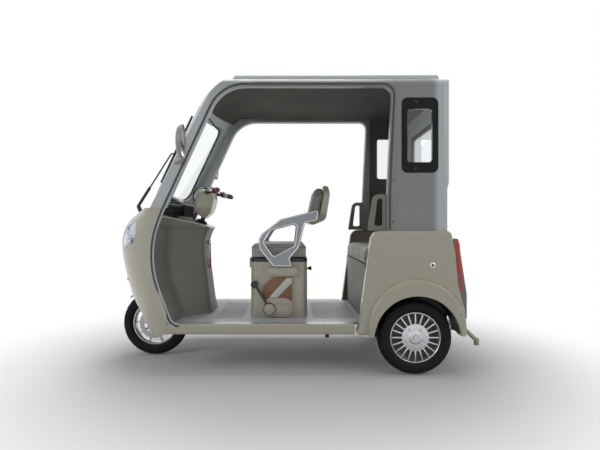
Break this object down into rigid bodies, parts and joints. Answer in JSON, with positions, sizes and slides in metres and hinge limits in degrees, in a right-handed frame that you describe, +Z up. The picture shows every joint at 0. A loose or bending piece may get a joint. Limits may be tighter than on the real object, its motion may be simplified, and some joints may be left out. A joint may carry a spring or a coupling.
{
  "type": "electric cabin tricycle",
  "caption": "Roofed electric three-wheeler with open door sides, a driver's seat with armrests, a rear bench and a windowed rear cab.",
  "frame": {"origin": "on the ground under the middle of the vehicle", "axes": "+X to the tail, +Y to the vehicle's right side, +Z up"},
  "size_m": [2.31, 1.294, 1.788],
  "materials": {
    "cream_paint": "cream gloss paint on moulded panels",
    "grey_paint": "warm light grey satin paint",
    "inner_grey": "grained grey moulding",
    "floor_grey": "blue-grey embossed floor",
    "liner_dark": "dark warm-grey lining",
    "black_plastic": "black moulded plastic",
    "black_rubber": "black rubber",
    "tyre_rubber": "tyre rubber",
    "cast_silver": "silver painted casting",
    "chrome_trim": "bright chrome",
    "frame_black": "black powder coat",
    "clear_glass": "clear safety glass",
    "lamp_glass": "clear lamp cover",
    "red_lens": "red lamp lens",
    "seat_cream": "cream artificial leather",
    "seat_grey": "grey artificial leather",
    "grip_brown": "dark reddish brown grip",
    "mirror_silver": "mirror",
    "caliper_red": "red paint",
    "disc_steel": "brushed steel",
    "motor_case": "cast housing"
  },
  "bodies": {
    "chassis": {"floor_pan": "floor_grey", "side_sills": "cream_paint", "chassis_frame": "frame_black", "front_cowl": "cream_paint", "leg_shield": "inner_grey", "dash_top": "cream_paint", "column_boot": "black_rubber", "instrument_panel": "cream_paint", "windscreen_frame": "grey_paint", "windscreen_glass": "clear_glass", "side_frames": "grey_paint", "roof_shell": "grey_paint", "headliner": "liner_dark", "rear_cab_sides": "grey_paint", "rear_cab_back": "grey_paint", "window_frames": "black_rubber", "window_glass": "clear_glass", "quarter_panels": "cream_paint", "wheel_liners": "black_plastic", "rear_panel": "cream_paint", "tail_lamps": "red_lens", "tail_lamp_trims": "inner_grey", "head_lamp_rims": "chrome_trim", "head_lamp_lenses": "lamp_glass", "grab_frames": "inner_grey", "bench_base": "inner_grey", "bench_cushion": "seat_cream", "bench_back": "seat_cream", "seat_box": "cream_paint", "battery_pack": "black_plastic", "armrests": "cast_silver", "seat_back_shell": "cream_paint", "seat_back_pad": "seat_cream", "seat_side_pads": "cream_paint", "parking_lever": "frame_black", "rear_axle": "frame_black", "drive_motor": "motor_case", "leaf_springs": "frame_black", "anti_tip_stays": "cream_paint", "mirror_shells": "cream_paint", "mirror_glasses": "mirror_silver", "wiper": "black_plastic"},
    "steering": {"fork": "frame_black", "front_mudguard": "black_plastic", "handlebar": "frame_black", "grips": "grip_brown", "head_cover": "cream_paint", "brake_caliper": "caliper_red"},
    "front_wheel": {"front_tyre": "tyre_rubber", "front_rim": "cast_silver", "brake_disc": "disc_steel"},
    "rear_wheel_left": {"rear_tyre_left": "tyre_rubber", "rear_rim_left": "cast_silver"},
    "rear_wheel_right": {"rear_tyre_right": "tyre_rubber", "rear_rim_right": "cast_silver"},
    "seat_lid": {"seat_lid": "black_plastic", "seat_cushion": "seat_cream"}
  },
  "joints": [
    {"name": "steering_turn", "type": "hinge", "parent": "chassis", "child": "steering", "pos_m": [-0.63, 0, 0.9], "axis": [0.3746, 0, 0.9272], "range_deg": [-38, 38]},
    {"name": "front_wheel_spin", "type": "hinge", "parent": "steering", "child": "front_wheel", "pos_m": [-0.94, 0, 0.215], "axis": [0, 1, 0], "continuous": true},
    {"name": "rear_left_spin", "type": "hinge", "parent": "chassis", "child": "rear_wheel_left", "pos_m": [0.689, -0.418, 0.215], "axis": [0, 1, 0], "continuous": true},
    {"name": "rear_right_spin", "type": "hinge", "parent": "chassis", "child": "rear_wheel_right", "pos_m": [0.689, 0.418, 0.215], "axis": [0, 1, 0], "continuous": true},
    {"name": "seat_lid_hinge", "type": "hinge", "parent": "chassis", "child": "seat_lid", "pos_m": [-0.288, 0, 0.652], "axis": [0, -1, 0], "range_deg": [0, 60]}
  ]
}
